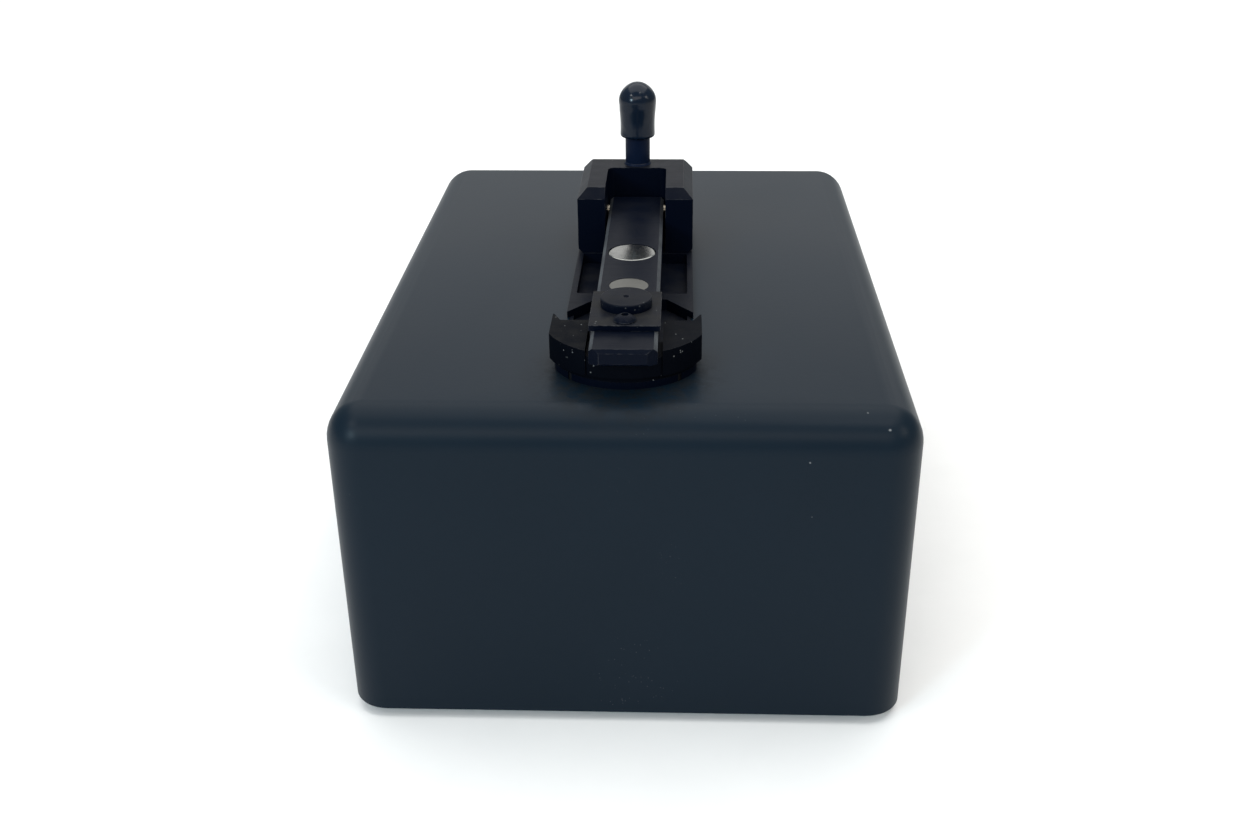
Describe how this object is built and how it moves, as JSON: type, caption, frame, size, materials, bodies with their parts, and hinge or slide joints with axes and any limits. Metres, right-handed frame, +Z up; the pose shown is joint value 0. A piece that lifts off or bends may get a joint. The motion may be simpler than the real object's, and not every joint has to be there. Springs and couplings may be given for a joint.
{
  "type": "benchtop fluorometer",
  "caption": "Benchtop fluorometer: rounded housing with a hinged sampling arm on top that closes on a drop, over a lamp nose; sockets at the rear.",
  "frame": {"origin": "under the middle of the housing, at the level that the feet stand on", "axes": "+Z up; the front, with the nose and the arm's finger tab, faces -Y; +X to the right seen from the front"},
  "size_m": [0.14, 0.2, 0.1317],
  "materials": {
    "cover_paint": "satin, fine moulded grain, light scuffs",
    "floor_metal": "brushed",
    "rubber": "matt",
    "steel": "bright",
    "black_metal": "black anodised, satin",
    "board": "solder mask",
    "brass": "turned",
    "chip": "moulded",
    "ivory": "smooth",
    "black_plastic": "matt, machined, dusty",
    "mirror": "coated",
    "lead_sleeve": "braided sleeve",
    "jacket": "smooth jacket",
    "cap_vinyl": "glossy soft vinyl",
    "magnet": "nickel plated",
    "clear": "clear domed",
    "polished": "mirror polished"
  },
  "bodies": {
    "housing": {"cover": "cover_paint", "floor_plate": "floor_metal", "foot_front_left": "rubber", "foot_front_right": "rubber", "foot_rear_left": "rubber", "foot_rear_right": "rubber", "cover_screws": "steel", "rear_panel": "black_metal", "rear_panel_screws": "steel", "control_board": "board", "board_standoffs": "brass", "board_screws": "steel", "board_chips": "chip", "board_headers": "ivory", "usb_shell": "steel", "usb_tongue": "ivory", "power_jack": "black_plastic", "power_jack_pin": "steel", "spectrometer_body": "black_metal", "spectrometer_lid": "black_metal", "spectrometer_lid_screws": "steel", "spectrometer_screws": "steel", "collimating_mirror": "mirror", "diffraction_grating": "mirror", "focusing_mirror": "mirror", "detector_board": "board", "line_sensor": "chip", "detector_lead": "lead_sleeve", "fibre_socket": "steel", "fibre_nut": "steel", "receiving_fibre": "jacket", "backing_plate": "floor_metal", "head_base": "black_metal", "block_screws": "steel", "nose_screws": "steel", "hinge_block": "black_metal", "hinge_pin": "steel", "stop_post": "black_metal", "stop_cap": "cap_vinyl", "base_magnet": "magnet", "nose": "black_plastic", "front_led_block": "black_plastic", "uv_led": "clear", "blue_led": "clear", "white_led": "clear", "led_leads": "steel", "led_board": "board", "led_board_standoffs": "brass", "led_board_screws": "steel", "led_harness": "lead_sleeve", "pedestal": "steel", "pedestal_nut": "steel", "fibre_ferrule": "ivory"},
    "sampling_arm": {"arm": "black_metal", "keeper_disc": "polished", "front_disc": "ivory", "retaining_plate": "black_plastic", "bushing": "black_plastic", "plate_screw": "black_metal"}
  },
  "joints": [
    {"name": "arm_hinge", "type": "hinge", "parent": "housing", "child": "sampling_arm", "pos_m": [0, 0.019, 0.096], "axis": [-1, 0, 0], "range_deg": [0, 96.4]}
  ]
}
